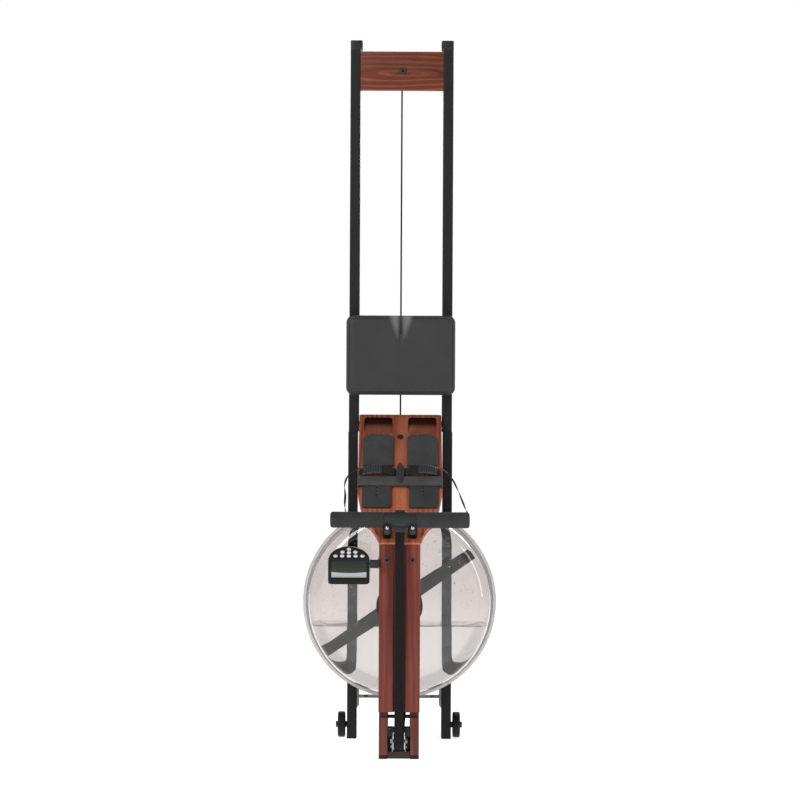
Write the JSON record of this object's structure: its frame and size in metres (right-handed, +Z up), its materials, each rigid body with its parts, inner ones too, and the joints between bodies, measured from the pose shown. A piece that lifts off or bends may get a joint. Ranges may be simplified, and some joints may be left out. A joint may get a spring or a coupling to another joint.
{
  "type": "rowing machine",
  "caption": "Upright-stored water rowing machine with twin black rails, wooden beam and footboard, clear water tank, sliding seat and pull handle.",
  "frame": {"origin": "centre of the footprint, on the floor that the machine stands on when stored upright", "axes": "+Z up along the rails towards the rear end, -Y towards the top side in use, +Y towards the floor in use, +X to the right seen from -Y"},
  "size_m": [0.569, 0.58, 2.1],
  "materials": {
    "rail": "satin powder coat",
    "bracket_steel": "satin black",
    "black_plastic": "fine moulded texture",
    "wood_dark": "satin varnish",
    "wood_board": "satin varnish",
    "wood_cheek": "satin varnish",
    "rubber": "matte",
    "foot_rubber": "textured",
    "tank_clear": "clear polycarbonate",
    "gasket": "translucent silicone",
    "water": "clear water",
    "zinc_steel": "zinc plated",
    "hook": "smooth black",
    "black_screw": "black oxide",
    "cord": "braided cover",
    "webbing": "woven webbing",
    "band": "ribbed",
    "clip_plastic": "moulded",
    "seat_leather": "fine grain",
    "roller": "smooth",
    "handle_core": "moulded",
    "grip_foam": "foam",
    "belt": "woven webbing",
    "drum_plastic": "moulded",
    "shaft_steel": "ground",
    "paddle_plastic": "moulded",
    "wheel_plastic": "moulded",
    "toe_plastic": "textured",
    "monitor_plastic": "fine texture",
    "screen": "clear window over a display",
    "key": "silver rubber"
  },
  "bodies": {
    "frame": {"seat_rail_left": "rail", "seat_rail_right": "rail", "front_rail_left": "rail", "front_rail_right": "rail", "rail_splices": "bracket_steel", "rail_end_caps": "black_plastic", "rear_crossmember": "wood_dark", "legs": "rail", "rubber_feet": "rubber", "front_tie_plate": "zinc_steel", "footboard": "wood_board", "beam_deck": "wood_dark", "beam_cheeks": "wood_cheek", "nose_crossbar": "bracket_steel", "tank_front_shell": "tank_clear", "tank_rear_shell": "tank_clear", "tank_gasket": "gasket", "tank_standoffs": "rubber", "water": "water", "bearing_housings": "black_plastic", "pulley_bracket": "zinc_steel", "handle_hooks": "hook", "fasteners": "black_screw", "monitor_arm": "black_plastic", "guide_brackets": "bracket_steel", "bungee_cord": "cord", "heel_pads": "foot_rubber", "foot_straps": "webbing", "toe_band": "band", "strap_clip": "clip_plastic", "wheel_axles": "black_screw", "drive_belt": "belt"},
    "seat": {"seat_pad": "seat_leather", "seat_carriage": "bracket_steel"},
    "upper_rollers": {"seat_rollers_upper": "roller"},
    "lower_rollers": {"seat_rollers_lower": "roller"},
    "handle": {"handle_bar": "handle_core", "handle_grips": "grip_foam"},
    "drum": {"belt_drum": "drum_plastic"},
    "rotor": {"paddle_shaft": "shaft_steel", "paddle": "paddle_plastic"},
    "nose_pulley": {"front_pulley": "drum_plastic"},
    "rear_guide": {"guide_pulley_rear": "drum_plastic"},
    "front_guide": {"guide_pulley_front": "drum_plastic"},
    "left_wheel": {"wheel_left": "wheel_plastic"},
    "right_wheel": {"wheel_right": "wheel_plastic"},
    "left_toe": {"toe_plate_left": "toe_plastic"},
    "right_toe": {"toe_plate_right": "toe_plastic"},
    "monitor": {"monitor_case": "monitor_plastic", "monitor_screen": "screen"},
    "key1": {"key_1": "key"},
    "key2": {"key_2": "key"},
    "key3": {"key_3": "key"},
    "key4": {"key_4": "key"},
    "key5": {"key_5": "key"},
    "key6": {"key_6": "key"},
    "key7": {"key_7": "key"},
    "key8": {"key_8": "key"},
    "key9": {"key_9": "key"}
  },
  "joints": [
    {"name": "seat_slide", "type": "slide", "parent": "frame", "child": "seat", "axis": [0, 0, 1], "range_m": [0, 0.66]},
    {"name": "upper_roller_spin", "type": "hinge", "parent": "seat", "child": "upper_rollers", "pos_m": [0, 0.1067, 1.21], "axis": [1, 0, 0], "continuous": true},
    {"name": "lower_roller_spin", "type": "hinge", "parent": "seat", "child": "lower_rollers", "pos_m": [0, 0.1067, 1.094], "axis": [1, 0, 0], "continuous": true},
    {"name": "handle_pull", "type": "slide", "parent": "frame", "child": "handle", "axis": [0, 0, 1], "range_m": [0, 0.9], "deforming": ["drive_belt"]},
    {"name": "drum_spin", "type": "hinge", "parent": "frame", "child": "drum", "pos_m": [0, -0.101, 0.424], "axis": [0, 1, 0], "continuous": true},
    {"name": "paddle_spin", "type": "hinge", "parent": "frame", "child": "rotor", "pos_m": [0, 0.024, 0.424], "axis": [0, 1, 0], "continuous": true, "deforming": ["water"]},
    {"name": "front_pulley_spin", "type": "hinge", "parent": "frame", "child": "nose_pulley", "pos_m": [0, -0.211, 0.05], "axis": [1, 0, 0], "continuous": true},
    {"name": "rear_guide_spin", "type": "hinge", "parent": "frame", "child": "rear_guide", "pos_m": [0, 0.1395, 0.915], "axis": [1, 0, 0], "continuous": true},
    {"name": "front_guide_spin", "type": "hinge", "parent": "frame", "child": "front_guide", "pos_m": [0, -0.07, 0.713], "axis": [1, 0, 0], "continuous": true},
    {"name": "left_wheel_spin", "type": "hinge", "parent": "frame", "child": "left_wheel", "pos_m": [-0.173, 0.159, 0.0395], "axis": [1, 0, 0], "continuous": true},
    {"name": "right_wheel_spin", "type": "hinge", "parent": "frame", "child": "right_wheel", "pos_m": [0.173, 0.159, 0.0395], "axis": [1, 0, 0], "continuous": true},
    {"name": "left_toe_adjust", "type": "slide", "parent": "frame", "child": "left_toe", "axis": [0, -0.7071, -0.7071], "range_m": [-0.014, 0.028]},
    {"name": "right_toe_adjust", "type": "slide", "parent": "frame", "child": "right_toe", "axis": [0, -0.7071, -0.7071], "range_m": [-0.014, 0.028]},
    {"name": "monitor_tilt", "type": "hinge", "parent": "frame", "child": "monitor", "pos_m": [-0.0855, -0.244, 0.5556], "axis": [-1, 0, 0], "range_deg": [0, 60]},
    {"name": "key_1_press", "type": "slide", "parent": "monitor", "child": "key1", "axis": [0, 1, 0], "range_m": [0, 0.001], "stiffness_N_per_m": 800},
    {"name": "key_2_press", "type": "slide", "parent": "monitor", "child": "key2", "axis": [0, 1, 0], "range_m": [0, 0.001], "stiffness_N_per_m": 800},
    {"name": "key_3_press", "type": "slide", "parent": "monitor", "child": "key3", "axis": [0, 1, 0], "range_m": [0, 0.001], "stiffness_N_per_m": 800},
    {"name": "key_4_press", "type": "slide", "parent": "monitor", "child": "key4", "axis": [0, 1, 0], "range_m": [0, 0.001], "stiffness_N_per_m": 800},
    {"name": "key_5_press", "type": "slide", "parent": "monitor", "child": "key5", "axis": [0, 1, 0], "range_m": [0, 0.001], "stiffness_N_per_m": 800},
    {"name": "key_6_press", "type": "slide", "parent": "monitor", "child": "key6", "axis": [0, 1, 0], "range_m": [0, 0.001], "stiffness_N_per_m": 800},
    {"name": "key_7_press", "type": "slide", "parent": "monitor", "child": "key7", "axis": [0, 1, 0], "range_m": [0, 0.001], "stiffness_N_per_m": 800},
    {"name": "key_8_press", "type": "slide", "parent": "monitor", "child": "key8", "axis": [0, 1, 0], "range_m": [0, 0.001], "stiffness_N_per_m": 800},
    {"name": "key_9_press", "type": "slide", "parent": "monitor", "child": "key9", "axis": [0, 1, 0], "range_m": [0, 0.001], "stiffness_N_per_m": 800}
  ],
  "couplings": [
    {"joint": "upper_roller_spin", "follows": "seat_slide", "rad_per_m": -45.455},
    {"joint": "lower_roller_spin", "follows": "seat_slide", "rad_per_m": -45.455},
    {"joint": "drum_spin", "follows": "handle_pull", "rad_per_m": 25.51},
    {"joint": "paddle_spin", "follows": "handle_pull", "rad_per_m": 25.51},
    {"joint": "front_pulley_spin", "follows": "handle_pull", "rad_per_m": -44.25},
    {"joint": "rear_guide_spin", "follows": "handle_pull", "rad_per_m": 51.7},
    {"joint": "front_guide_spin", "follows": "handle_pull", "rad_per_m": -51.7}
  ]
}
